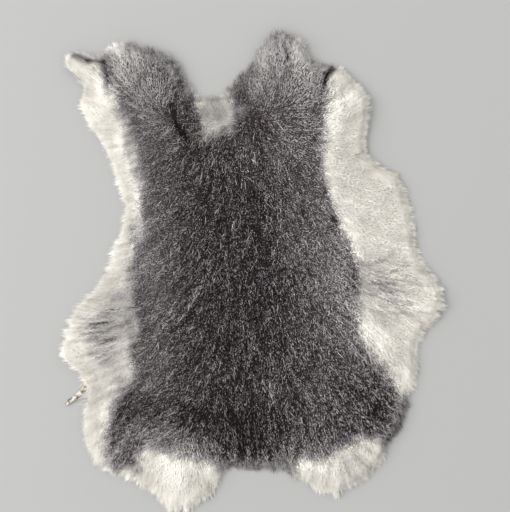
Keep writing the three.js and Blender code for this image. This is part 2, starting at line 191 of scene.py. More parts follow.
def blended(values, column, row):    # between the four steps of a map round each place
    c, r = column.astype(int), row.astype(int)
    u, v = column - c, row - r
    return (values[r, c] * (1 - u) * (1 - v) + values[r, c + 1] * u * (1 - v)
            + values[r + 1, c] * (1 - u) * v + values[r + 1, c + 1] * u * v)


def lookUp(values, x, y):    # value of a map at many places at once
    column = np.clip((x - mapXs[0]) / mapSet["step"], 0, len(mapXs) - 1.001)
    row = np.clip((y - mapYs[0]) / mapSet["step"], 0, len(mapYs) - 1.001)
    return blended(values, column, row)


print("heights read,", int(slabMap.sum()), "places on the pelt")


# How the hair lies: combed directions at places on the pelt, blended between them

combing = {
    "reach": 26,    # how far one row's direction carries
    # x, y, then the way from root to tip
    "rows": [
        # head end, fanning out over the lobes
        (-150, 176, -0.8, 0.55), (-122, 182, -0.6, 0.8), (-100, 180, -0.2, 1.0), (-80, 176, 0.2, 1.0),
        (-64, 164, 0.8, 0.6), (-110, 150, -0.9, 0.35), (-84, 150, -0.3, 0.9), (-66, 142, 0.9, 0.1),
        (-36, 138, -0.1, 1.0), (-14, 142, -0.5, 0.8), (6, 172, -0.75, 0.65), (24, 188, -0.1, 1.0),
        (40, 180, 0.7, 0.7), (20, 158, -0.2, 1.0), (56, 162, 0.6, 0.7), (74, 156, 0.5, 0.85),
        # shoulders
        (-128, 130, -0.95, 0.1), (-100, 118, -0.95, -0.2), (-72, 116, -0.7, -0.7),
        (-40, 112, -0.1, -1.0), (0, 118, 0.2, -1.0), (34, 124, 0.9, -0.35), (60, 132, 0.95, 0.0),
        (84, 138, 0.8, 0.6), (90, 112, 1.0, 0.1),
        # back, from left to right
        (-116, 92, -1.0, -0.1), (-86, 80, -0.85, -0.5), (-50, 76, -0.4, -0.9), (-10, 76, 0.0, -1.0),
        (30, 78, 0.4, -0.9), (56, 80, 0.8, -0.5), (84, 84, 0.95, -0.25), (116, 66, 1.0, -0.2),
        (-108, 44, -1.0, -0.1), (-84, 36, -0.75, -0.65), (-46, 34, -0.4, -0.9), (0, 34, 0.0, -1.0),
        (44, 36, 0.4, -0.9), (76, 34, 0.7, -0.7), (108, 34, 1.0, -0.2), (132, 24, 1.0, -0.1),
        (-118, 4, -1.0, -0.1), (-92, -6, -0.8, -0.6), (-54, -8, -0.5, -0.85), (-6, -8, 0.0, -1.0),
        (42, -8, 0.3, -0.95), (80, -10, 0.6, -0.8), (112, -6, 1.0, -0.1), (148, -20, 1.0, -0.05),
        (-146, -46, -1.0, 0.1), (-122, -38, -0.95, 0.15), (-92, -50, -0.85, -0.5),
        (-56, -54, -0.55, -0.85), (-10, -54, 0.0, -1.0), (38, -54, 0.25, -0.95), (82, -52, 0.6, -0.8),
        (118, -46, 0.85, -0.45), (-150, -72, -0.9, -0.3), (-124, -74, -0.9, -0.45),
        (-96, -94, -0.75, -0.7), (-54, -96, -0.5, -0.85), (-6, -98, 0.05, -1.0), (42, -98, 0.3, -0.95),
        (86, -94, 0.5, -0.85), (124, -88, 0.6, -0.8),
        # hind end
        (-134, -120, -0.95, -0.35), (-108, -132, -0.6, -0.8), (-88, -122, -0.95, -0.3),
        (-62, -128, -0.9, -0.45), (-30, -144, 0.6, -0.8), (10, -136, 0.0, -1.0),
        (50, -134, 0.3, -0.95), (88, -128, 0.45, -0.9), (118, -124, 0.95, -0.35),
        (108, -142, 0.6, -0.85), (-120, -156, -0.55, -0.85), (-92, -164, -0.5, -0.9),
        (-66, -180, -0.15, -1.0), (-40, -168, 0.4, -0.9), (-10, -158, 0.0, -1.0),
        (30, -160, 0.05, -1.0), (58, -170, -0.05, -1.0), (82, -166, 0.3, -0.95),
        (98, -158, 0.55, -0.85),
    ],
}


def combedWay(x, y):
    rows = np.array(combing["rows"])
    sumX, sumY = np.zeros(len(x)), np.zeros(len(x))
    for placeX, placeY, wayX, wayY in rows:
        away = ((x / mm - placeX) ** 2 + (y / mm - placeY) ** 2) / combing["reach"] ** 2
        weight = np.exp(-away) + 1e-9
        size = math.hypot(wayX, wayY)
        sumX += weight * wayX / size
        sumY += weight * wayY / size
    length = np.hypot(sumX, sumY) + 1e-12
    return sumX / length, sumY / length


mapPlaces = [axis.ravel() for axis in np.meshgrid(mapXs, mapYs)]
wayMaps = [part.reshape(topMap.shape) for part in combedWay(*mapPlaces)]


# Colour of the coat as a tone from 0, charcoal, to 1, cream white

toning = {
    "white": 0.775,
    "grey": 0.108,
    "softness": 8.0,     # half width of the change from grey to white
    "wander": 2.6,       # how unevenly that line runs
    "mingling": 2.6,     # how far grey and white locks cross it
    "clouding": [(24, 0.03, 9), (9, 0.02, 10)],    # soft blotches: size, how strong, seed
    # the grey back and shoulders, clockwise from the left shoulder
    "backOutline": [
        (-130, 180), (-120, 205), (-78, 198), (-57, 176), (-49, 148), (-47, 136), (-45, 122),
        (-38, 113), (-27, 112), (-15, 122), (-9, 134), (-16, 146), (-22, 156), (-6, 178), (5, 208),
        (28, 213), (50, 194), (68, 180), (64, 162), (62, 134), (60, 110), (59, 92), (59.5, 76),
        (63, 60), (71, 41), (78, 26), (89, 6), (87, -22), (89, -48), (97, -66), (110, -86),
        (123, -104), (140, -108), (138, -130), (126, -154), (114, -152), (106, -142), (96, -140),
        (84, -144), (72, -150), (62, -157), (41, -160), (33, -180), (-22, -178), (-33, -162),
        (-44, -157), (-58, -157), (-76, -151), (-88, -148), (-96, -155), (-98, -166), (-112, -170),
        (-124, -165), (-124, -150), (-122, -132), (-116, -116), (-108, -100), (-100, -88), (-98, -70),
        (-98, -40), (-101, -20), (-100, 2), (-98.5, 22), (-96, 46), (-94, 72), (-98, 94), (-103, 114),
        (-109, 130), (-116, 148), (-126, 164),
    ],
    # x, y, half-lengths across and along, and how much lighter
    "patches": [
        # head end
        ("left lobe", -92, 160, 36, 40, 0.265), ("left lobe, outer side", -112, 172, 16, 24, 0.28),
        ("left lobe tuft", -117, 193, 10, 11, 0.44), ("left lobe slope", -66, 152, 14, 18, 0.12),
        ("left shoulder", -86, 116, 28, 28, 0.125), ("left lobe, inner rim", -86, 188, 12, 6, -0.08),
        ("right lobe", 30, 182, 25, 30, 0.375), ("right lobe, right side", 42, 190, 8, 18, 0.18),
        ("right lobe, left side", 8, 182, 10, 18, 0.20),
        ("right shoulder, left", 2, 151, 14, 15, 0.27), ("right shoulder blade", 30, 86, 20, 50, 0.05),
        ("right of the spine", 34, 40, 11, 26, 0.07), ("right shoulder", 40, 136, 28, 32, 0.17),
        ("right lobe slope", 54, 164, 12, 20, 0.18), ("withers", 0, 96, 56, 26, 0.095),
        ("right of the nape", -8, 120, 12, 14, 0.08), ("right shoulder line", 54, 82, 8, 22, 0.06),
        ("nape", -30, 131, 20, 15, -0.355), ("nape rim", -34, 146, 18, 6, -0.10),
        # back
        ("rump", 60, -110, 60, 40, 0.03), ("middle of the back", -10, -20, 32, 120, -0.05),
        ("left side of the back", -78, 0, 20, 96, 0.20),
        ("left edge of the back", -94, 46, 11, 72, 0.215),
        ("right side of the back", 60, 20, 24, 90, 0.185), ("right loin", 77, -4, 13, 46, 0.26),
        ("right thigh", 122, -76, 8, 14, -0.06), ("left hip", -100, -104, 10, 16, 0.06),
        ("left stifle", -88, -88, 18, 24, 0.135), ("left thigh, upper", -97, -120, 8, 14, 0.06),
        ("right hip", 88, -60, 12, 24, 0.18),
        # flanks and legs
        ("left flap", -122, -42, 19, 24, -0.26), ("left flap, top", -114, -18, 11, 12, -0.12),
        ("right waist", 92, 30, 14, 30, -0.05), ("left flap, lower", -126, -84, 14, 26, -0.12),
        ("left thigh", -134, -140, 10, 36, -0.095), ("left tuft, outer", -88, -170, 12, 14, -0.10),
        ("left thigh line", -112, -84, 12, 34, -0.10), ("left loin edge", -104, -24, 8, 50, -0.115),
        ("left breast", -122, 140, 10, 34, -0.10), ("left side by the line", -104, 96, 7, 26, -0.12),
        ("left waist by the line", -103, 42, 7, 40, -0.18),
        ("left breast stain", -117, 124, 9, 20, -0.13), ("left curl", -140, 166, 12, 14, -0.10),
        # left breast corner: painted shade in the notch under the left curl
        ("painted shade under the left curl", -139, 150, 8, 7, -0.12), ("right flank", 108, -14, 26, 26, -0.14),
        # right line, white, and the three patches by the line on the right: painted shadow that the grey
        # fur's edge casts on the white beside it
        ("right side, white", 100, 62, 24, 76, -0.05), ("painted shade on the white right of the line", 79, 66, 9, 44, -0.06),
        ("painted shadow right of the line", 68, 94, 9, 24, -0.15),
        ("painted shadow by the right loin", 73, 50, 9, 28, -0.19),
        ("painted shadow by the right waist", 92, -14, 6, 16, -0.12), ("right breast", 78, 150, 12, 8, -0.03),
        ("right breast corner", 68, 170, 5, 4, -0.2),
        # hind end
        ("left haunch", -80, -137, 26, 9, 0.20), ("left corner", -118, -154, 16, 22, 0.22),
        ("left tuft top", -54, -150, 28, 8, 0.25), ("hind swirl", -44, -142, 8, 7, 0.16),
        ("above the tail", -8, -127, 40, 14, -0.15), ("tail middle", -4, -146, 18, 10, -0.16),
        ("tail right", 38, -151, 18, 11, 0.13), ("tail rim", 6, -166, 44, 5, 0.18),
        ("right haunch edge", 96, -142, 24, 6, 0.06), ("right tuft top", 64, -150, 13, 6, 0.12),
        ("right haunch rim", 126, -118, 10, 20, 0.16), ("right tuft", 84, -166, 26, 14, -0.10),
        ("left tuft", -62, -180, 24, 20, 0.01),
    ],
    # white hair whose lower part is grey: x, y, half-lengths across and along, how strongly
    "ticking": [
        ("left flap", -123, -52, 21, 26, 1.0), ("right flank", 110, -14, 28, 26, 0.8),
        ("right flank, lower", 132, -30, 22, 16, 0.6), ("left waist", -110, 10, 10, 26, 0.3),
        ("left thigh", -116, -88, 10, 22, 0.3), ("right thigh", 122, -84, 12, 18, 0.25),
    ],
    # where the hair is one even colour: x, y, half-lengths across and along, how much
    "even": [("nape", -31, 133, 20, 15, 0.6), ("left stifle edge", -114, -96, 12, 16, 0.6)],
    # dark partings and creases: where the hair parts the dark underfur shows, and in the creases painted
    # shade deepens it: from, to, half width, how much darker
    "partings": [
        (-62, 160, -67, 140, 3.0, 0.16), (-67, 138, -64, 122, 2.1, 0.30),
        # (72, 160) to (76, 147): painted shade between two puffs at the edge of the right foreleg
        (-63, 122, -55, 111, 2.4, 0.38), (72, 160, 76, 147, 2.5, 0.07),
        (-55, 111, -44, 100, 3.5, 0.05), (6, 130, 12, 120, 2.0, 0.08), (12, 120, 18, 110, 2.0, 0.08),
        # (57, 95) to (61, 66) to (70, 42), and on to (80, 24) on the next line: painted shadow of the grey
        # fur's edge on the white
        (26, 128, 34, 120, 2.5, 0.06), (57, 95, 61, 66, 1.8, 0.2), (61, 66, 70, 42, 1.8, 0.18),
        (-52, 143.5, -24, 145, 1.6, 0.12), (70, 42, 80, 24, 3.0, 0.10), (60, 160, 56, 110, 3.0, 0.08),
        (-98, -106, -84, -111, 4.0, 0.07), (-84, -111, -58, -113, 4.5, 0.08),
        (-58, -113, -42, -122, 4.5, 0.06), (-43, -138, -45, -149, 2.0, 0.20),
        (-38, -136, -20, -150, 2.5, 0.16), (-120, 176, -114, 160, 3.0, 0.08),
        (66, 172, 62, 160, 3.5, 0.16), (94, -124, 108, -114, 3.0, 0.10),
        (-44, 100, -40, 78, 2.0, 0.08), (-36, 102, -33, 76, 2.0, 0.08), (-27, 100, -24, 72, 2.0, 0.08),
        (-18, 96, -14, 70, 2.0, 0.06), (104, -118, 112, -128, 2.5, 0.1),
        # the first three here: the dark folded skin edge along the top of the left curl together with
        # painted shadow, then painted shadow between the curl and the left lobe
        (-150, 181, -139, 176.5, 3.2, 0.46), (-139, 176.5, -126, 175.5, 1.6, 0.36),
        (-125, 176, -121, 158, 2.4, 0.26), (26, 192, 30, 178, 1.6, 0.3),
        # (94, 101) to (88, 96): painted shadow along the fold between the right foreleg and the flank
        (62.5, 164, 68, 170, 3.0, 0.5), (63, 164, 60.5, 154, 1.8, 0.24), (94, 101, 88, 96, 1.6, 0.14),
        (-115, -126, -117, -147, 2.5, 0.12),
        # between the locks of the right hind tuft, and along them
        (53, -163, 49, -184, 1.3, 0.10), (66, -162, 63, -182, 1.3, 0.12),
        (76, -158, 83, -174, 1.3, 0.12), (85, -154, 100, -168, 1.3, 0.12),
        (93, -147, 109, -158, 1.2, 0.10), (59, -162, 56, -187, 2.0, -0.06),
        (71, -162, 72, -182, 2.0, -0.06), (81, -156, 92, -173, 2.0, -0.06),
        (90, -151, 105, -163, 2.0, -0.05),
        # the left flap, from its top
        (-128, -36, -107, -38, 0.8, 0.16), (-124, -34, -112, -33, 0.7, 0.14),
        (-137, -46, -116, -43, 0.8, 0.18), (-144, -54, -119, -52, 0.8, 0.18),
        (-142, -62, -114, -57, 0.8, 0.17), (-138, -71, -116, -64, 0.8, 0.16),
        (-128, -79, -111, -69, 0.8, 0.15), (-134, -41, -119, -40, 0.7, 0.16),
        (-141, -50, -124, -48, 0.7, 0.15), (-138, -66, -121, -61, 0.7, 0.14),
        (-135, -58, -112, -55, 0.7, 0.12), (-132, -75, -118, -69, 0.7, 0.12),
        # the right flank
        (110, -4, 122, 0, 1.2, 0.14), (99, -11, 119, -11, 1.2, 0.16), (112, -25, 121, -27, 1.2, 0.14),
        (121, -30, 134, -29, 1.2, 0.14), (114, -36, 130, -36, 1.2, 0.14),
        (97, -20, 105, -21, 1.2, 0.14), (107, -42, 112, -46, 1.2, 0.12), (98, 4, 112, 9, 1.5, 0.16),
        (103, -16, 116, -18, 1.1, 0.12),
    ],
}


def offLine(x, y, ax, ay, bx, by):    # how far each place is from the line between two points
    squared = (bx - ax) ** 2 + (by - ay) ** 2
    share = np.clip(((x - ax) * (bx - ax) + (y - ay) * (by - ay)) / squared, 0, 1)
    return np.hypot(x - ax - share * (bx - ax), y - ay - share * (by - ay))


def nearness(x, y, placeX, placeY, across, along):    # 1 in the middle of a patch, fading out round it
    return np.exp(-(((x / mm - placeX) / across) ** 2 + ((y / mm - placeY) / along) ** 2))


def signedDepth(x, y, outline):    # how far inside the outline each place is, below 0 outside
    points = np.array(outline, float)
    inside = np.zeros(len(x), bool)
    nearest = np.full(len(x), 1e9)
    for (ax, ay), (bx, by) in zip(points, np.roll(points, -1, 0)):
        crosses = ((ay > y) != (by > y)) & (x < ax + (y - ay) * (bx - ax) / ((by - ay) or 1e-9))
        inside ^= crosses
        nearest = np.minimum(nearest, offLine(x, y, ax, ay, bx, by))
    return np.where(inside, nearest, -nearest)


def wander(x, y, size, seed):    # smooth unevenness between -1 and 1
    value = np.zeros(len(x))
    turns = np.random.default_rng(seed)
    for octave in range(5):
        angle, phase = turns.uniform(0, 2 * math.pi, 2)
        pitch = 2 * math.pi / (size * (0.55 + 0.3 * octave))
        value += np.sin((x * math.cos(angle) + y * math.sin(angle)) * pitch + phase)
    return value / 3.2


def streaks(places, fine, reach, seed):    # unevenness drawn out along the combed way, about -2 to 2
    size = 400
    grain = np.random.default_rng(seed).normal(0, 1, (size, size))
    x, y = places
    value = np.zeros(len(x))
    for onward in (1, -1):
        placeX, placeY = x.copy(), y.copy()
        for _ in range(reach):
            column = (placeX - mapXs[0]) / fine % (size - 2)
            row = (placeY - mapYs[0]) / fine % (size - 2)
            value += blended(grain, column, row)
            stepX, stepY = lookUp(wayMaps[0], placeX, placeY), lookUp(wayMaps[1], placeX, placeY)
            placeX += onward * stepX * mm
            placeY += onward * stepY * mm
    return value / value.std()


def backShare(x, y, strayX=0.0, strayY=0.0):    # 1 in the grey of the back, 0 in the white
    x, y = (x + strayX) / mm, (y + strayY) / mm
    depth = signedDepth(x, y, toning["backOutline"]) + toning["wander"] * wander(x, y, 14, 5)
    return np.clip(depth / (2 * toning["softness"]) + 0.5, 0, 1)


def toneAt(x, y, strayX=0.0, strayY=0.0):
    share = backShare(x, y, strayX, strayY)
    share = share * share * (3 - 2 * share)
    tone = toning["white"] + (toning["grey"] - toning["white"]) * share
    for _, *patch, lighter in toning["patches"]:
        tone += lighter * nearness(x, y, *patch)
    for *line, half, darker in toning["partings"]:
        tone -= darker * np.exp(-(offLine(x / mm, y / mm, *line) / half) ** 2)
    for size, amount, seed in toning["clouding"]:
        tone = tone + amount * wander(x / mm, y / mm, size, seed)
    return tone


# Materials. The fur's colour is read from its own map: tone across it, and root to tip along it, where
# painted shade darkens the roots.

coatColours = {    # tone, red, green, blue as linear amounts
    "grey": [
        (0.00, 0.007, 0.005, 0.005), (0.10, 0.035, 0.027, 0.028), (0.22, 0.092, 0.078, 0.080),
        (0.40, 0.221, 0.211, 0.215), (0.62, 0.446, 0.430, 0.412), (0.78, 0.662, 0.648, 0.620),
        (0.90, 0.850, 0.842, 0.812), (1.00, 0.955, 0.952, 0.930),
    ],
    "white": [
        (0.00, 0.007, 0.005, 0.005), (0.10, 0.035, 0.027, 0.0275), (0.22, 0.093, 0.078, 0.0785),
        (0.40, 0.222, 0.211, 0.210), (0.62, 0.450, 0.428, 0.388), (0.78, 0.668, 0.646, 0.585),
        (0.90, 0.858, 0.842, 0.794), (1.00, 0.960, 0.952, 0.918),
    ],
}
rootShade = {    # along a hair, share of its colour: painted shade that darkens it toward the roots, deep in the coat
    "grey": [(0.0, 0.70), (0.4, 0.88), (0.75, 1.0), (1.0, 1.0)],
    "white": [(0.0, 0.90), (0.4, 0.97), (0.75, 1.0), (1.0, 1.0)],
}


def fillRamp(ramp, stops):
    while len(ramp.elements) < len(stops):
        ramp.elements.new(0.5)
    for element, (place, colour) in zip(ramp.elements, stops):
        element.position = place
        element.color = (*colour, 1)


def setInputs(node, values):
    for name, value in values.items():
        node.inputs[name].default_value = value


def wire(source, output, target, into):
    source.id_data.links.new(source.outputs[output], target.inputs[into])


def startMaterial(name, values):
    material = bpy.data.materials.new(name)
    material.use_nodes = True
    nodes = material.node_tree.nodes
    shader = nodes["Principled BSDF"]
    setInputs(shader, values)
    return material, nodes, shader


def makeFurMaterial(name, kind, roughness, gloss, sheen):
    material, nodes, shader = startMaterial(name, {
        "Roughness": roughness, "Specular IOR Level": gloss, "Sheen Weight": sheen, "Sheen Roughness": 0.5,
    })
    place = nodes.new("ShaderNodeUVMap")
    place.uv_map = "OFBake"
    split = nodes.new("ShaderNodeSeparateXYZ")
    colours = nodes.new("ShaderNodeValToRGB")
    fillRamp(colours.color_ramp, [(tone, colour) for tone, *colour in coatColours[kind]])
    # painted shade, darker toward the roots
    shade = nodes.new("ShaderNodeValToRGB")
    fillRamp(shade.color_ramp, [(along, (amount,) * 3) for along, amount in rootShade[kind]])
    mix = nodes.new("ShaderNodeMix")
    mix.data_type = "RGBA"
    mix.blend_type = "MULTIPLY"
    setInputs(mix, {"Factor": 1})
    wire(place, "UV", split, "Vector")
    wire(split, "X", colours, "Fac")
    wire(split, "Y", shade, "Fac")
    wire(colours, "Color", mix, "A")
    wire(shade, "Color", mix, "B")
    wire(mix, "Result", shader, "Base Color")
    return material


greyFur = makeFurMaterial("grey_agouti_fur", "grey", 0.7, 0.08, 0.03)
whiteFur = makeFurMaterial("cream_white_fur", "white", 0.65, 0.15, 0.1)


# Dense underfur, a soft body just under the hair tips

undercoat = {
    "voxel": 2.9 * mm, "smoothing": 10,
    "wool": 1.4 * mm, "woolScale": 0.006,    # how deep its lumps are, and how large
    "sink": 2.6 * mm,                        # how far it lies under the solid's skin
    "drawnIn": 2.2 * mm, "rim": 5 * mm,      # how far its rim is drawn in, so that only hair shows there
    "raised": 0.2 * mm,                      # how much fuller it is under the white fur
    "fullAbove": 4 * mm,
    "deepTone": 0.5,                         # how much darker it is deep in the grey
    "readAt": 0.2,                           # how far from root to tip its painted root shade is read
    "steadied": 0.2,                         # slopes weaker than this draw its rim in less
}


def addUndercoat():
    piece = copyOfSolid("woolly_undercoat")
    applyModifier(piece, "REMESH", mode="VOXEL", voxel_size=undercoat["voxel"])
    applyModifier(piece, "SMOOTH", factor=0.5, iterations=undercoat["smoothing"])
    applyModifier(piece, "DISPLACE", texture=makeClouds("wool", undercoat["woolScale"]),
                  texture_coords="LOCAL", strength=undercoat["wool"], mid_level=0.5)
    applyModifier(piece, "DISPLACE", strength=-undercoat["sink"], mid_level=0)
    bpy.ops.object.shade_smooth()
    mesh = piece.data
    corners = np.zeros(len(mesh.loops), int)
    mesh.loops.foreach_get("vertex_index", corners)
    places = np.zeros(len(mesh.vertices) * 3)
    mesh.vertices.foreach_get("co", places)
    places = places.reshape(-1, 3)
    insideMap = carriedPast(rimMap - beyondMap, wholeMap | (beyondMap > 0), 1)
    inward = np.gradient(insideMap, mapSet["step"])
    depth = lookUp(rimMap, places[:, 0], places[:, 1])
    drawn = undercoat["drawnIn"] * np.exp(-(depth / undercoat["rim"]) ** 2)
    shiftX, shiftY = (lookUp(part, places[:, 0], places[:, 1]) for part in (inward[1], inward[0]))
    size = np.hypot(shiftX, shiftY) + undercoat["steadied"]
    places[:, 0] += shiftX / size * drawn
    places[:, 1] += shiftY / size * drawn
    raised = undercoat["raised"] * (1 - backShare(places[:, 0], places[:, 1]))
    places[:, 2] += raised * np.clip(places[:, 2] / undercoat["fullAbove"] - 1, 0, 1)
    mesh.vertices.foreach_set("co", places.ravel())
    grey = backShare(places[:, 0], places[:, 1])
    tone = np.clip(toneAt(places[:, 0], places[:, 1]) * (1 - undercoat["deepTone"] * grey), 0.01, 0.99)
    uv = mesh.uv_layers.new(name="OFBake")
    shade = np.full(len(corners), undercoat["readAt"])
    uv.data.foreach_set("uv", np.column_stack([tone[corners], shade]).ravel())
    mesh.materials.append(greyFur)
    return piece


woolly = addUndercoat()
print("undercoat made,", len(woolly.data.polygons), "faces")


# Hair, each one pointed at both ends, that rises out of the underfur and lies the way it is combed

hair = {
    "gap": 0.88 * mm,                 # between roots
    "longer": (0.7, 1.15),            # least and most, as a share of the usual length
    "wider": (0.6, 1.25),             # the same for its width
    "past": (-7.5 * mm, 0.4 * mm),    # how far tips reach past the solid's outline
    "sunk": 1.2 * mm,                 # how far roots start below the height that they rise to
    "overSkin": 1.4 * mm,             # and how far above the skin's lower side they stay
    "waist": 0.42,                    # where along it a hair is widest
    "waistRise": 0.72,                # how much of its height it has risen by there
    "arch": (0.4 * mm, 0.5 * mm),     # how far it arches, and how far above the solid at most
    "bow": 0.05,                      # how far it bends to one side, as a share of its reach
    "unevenTips": (-1.3, 0.1),        # how far tips stand out of the coat, in mm
    "clumpLift": 1.8 * mm,
    "kindLift": 1.6 * mm,
    "lowestTip": 0.3 * mm,            # above the floor
    "lowRim": (0.3, 10 * mm),         # tips stand out less at the rim: what share, and from where
    "thinRim": (0.55, 12 * mm),       # and hairs are thinner there
    "pulled": (0.6, 1.2),             # how strongly its clump draws a hair in
    "evenness": 0.3,                  # how far the coat's slope counts, as light spreads inside the fur
    "sideFace": 1.2,                  # how far its two upper faces turn to the side
    "lowerFace": (1.6, 1.6, 0.4),     # lower faces turn to the side, since light comes through a hair
    "lowerSlope": (1, 1, -0.5),
}

bySide = {    # on the back, and on the flanks
    "width": (0.92 * mm, 0.80 * mm),
    "plump": (0.40, 0.20),            # a hair's height as a share of its width
    "clumpGap": (2.5 * mm, 4.4 * mm),
    "clumpPull": (0.60, 0.42),
    "clumpTurn": (0.6, 0.35),         # how far a clump turns aside, in radians
    "sway": (0.24, 0.12),             # how far a hair strays from the combed way, in radians
    "soft": (0.45, 0.66),             # how much a hair takes its shading from the coat's own slope
    "lift": (1.0, 0.4),               # how much of its uneven height a tip keeps
}

guardHair = {    # single longer hairs on top
    "from": 0.84, "longer": 1.35, "thinner": 0.75, "loose": 0.4,
    "raised": 0.6 * mm, "arched": 0.5 * mm,    # on the back
}

fringe = {    # fine single hairs that soften the rim
    "gap": 0.57 * mm, "depth": 7.5 * mm, "width": 0.34 * mm, "wider": (0.7, 1.3),
    "length": (8 * mm, 16 * mm), "past": (-3.0 * mm, 8.0 * mm), "fewLong": 1.3, "sway": 2.0,
}

# Length and slope of the part of a hair that shows: on the back, on the flanks and where they differ
pile = {
    "back": (10.0, 0.77),      # length in mm, and how flat it lies: 1 is level
    "flank": (20.0, 0.945),
    "atRim": (0.95, 0.35, 14 * mm),    # how flat at the rim, how much steeper further in, and from where
    # x, y, half-lengths across and along, longer by, flatter by
    "patches": [
        ("left lobe", -98, 180, 36, 26, 7.0, 0.22), ("right lobe", 26, 180, 28, 34, 7.5, 0.22),
        ("left haunch", -78, -136, 44, 14, 5.0, 0.2), ("right haunch", 90, -132, 34, 14, 3.5, 0.15),
        ("tail edge", 6, -160, 50, 10, 3.5, 0.2), ("left corner", -116, -158, 18, 18, 4.0, 0.2),
        ("nape", -34, 138, 20, 14, -6.0, 0.0), ("left curl", -148, 176, 14, 12, -7.0, 0.0),
    ],
}

coatPieces = {    # slot: which part of the grey or of the white each piece covers
    "grey_fur": {
        "left_shoulder_fur": lambda x, y: (y > 95) & (x < -33),
        "right_shoulder_fur": lambda x, y: (y > 95) & (x >= -33),
        "left_back_fur": lambda x, y: (y > -30) & (y <= 95) & (x < -15),
        "right_back_fur": lambda x, y: (y > -30) & (y <= 95) & (x >= -15),
        "left_haunch_fur": lambda x, y: (y <= -30) & (x < -15),
        "right_haunch_fur": lambda x, y: (y <= -30) & (x >= -15),
    },
    "white_fur": {
        "left_flank_fur": lambda x, y: (x < -60) & (y > -145),
        "right_flank_fur": lambda x, y: (x > 40) & (y > -125),
        "nape_fur": lambda x, y: (x >= -60) & (x <= 40) & (y > 80),
        "hind_tuft_fur": lambda x, y: (y <= -125) & ((x > 0) | (y <= -145) | (x > -60)),
    },
}


def scatterRoots(gap, deepest):
    xs = np.arange(cadLow.x, cadHigh.x, gap)
    ys = np.arange(cadLow.y, cadHigh.y, gap)
    gridX, gridY = np.meshgrid(xs, ys)
    x = (gridX + scatter.uniform(-0.5, 0.5, gridX.shape) * gap).ravel()
    y = (gridY + scatter.uniform(-0.5, 0.5, gridY.shape) * gap).ravel()
    keep = (lookUp(slabMap.astype(float), x, y) > 0.5) & (lookUp(rimMap, x, y) < deepest)
    return x[keep], y[keep]


def nearestClump(x, y, gap):    # the middle of the clump that each hair leans to, and its number
    columns = np.floor(x / gap).astype(int)
    rows = np.floor(y / gap).astype(int)
    best = np.full(len(x), 1e9)
    clumpX, clumpY, number = x.copy(), y.copy(), np.zeros(len(x), int)
    for stepX in (-1, 0, 1):
        for stepY in (-1, 0, 1):
            c, r = columns + stepX, rows + stepY
            code = (c * 92837111 + r * 689287499) & 0x7FFFFFFF
            jitterX = ((code * 1103515245 + 12345) & 0xFFFF) / 65535
            jitterY = ((code * 69069 + 1) & 0xFFFF) / 65535
            middleX, middleY = (c + jitterX) * gap, (r + jitterY) * gap
            away = np.hypot(x - middleX, y - middleY)
            nearer = away < best
            best = np.where(nearer, away, best)
            clumpX = np.where(nearer, middleX, clumpX)
            clumpY = np.where(nearer, middleY, clumpY)
            number = np.where(nearer, code, number)
    return clumpX, clumpY, number


def pileAt(x, y, share):
    length = pile["flank"][0] + (pile["back"][0] - pile["flank"][0]) * share
    lay = pile["flank"][1] + (pile["back"][1] - pile["flank"][1]) * share
    for _, *patch, longer, flatter in pile["patches"]:
        near = nearness(x, y, *patch)
        length += longer * near
        lay += flatter * near
    return length * mm, np.clip(lay, 0.3, 0.97)


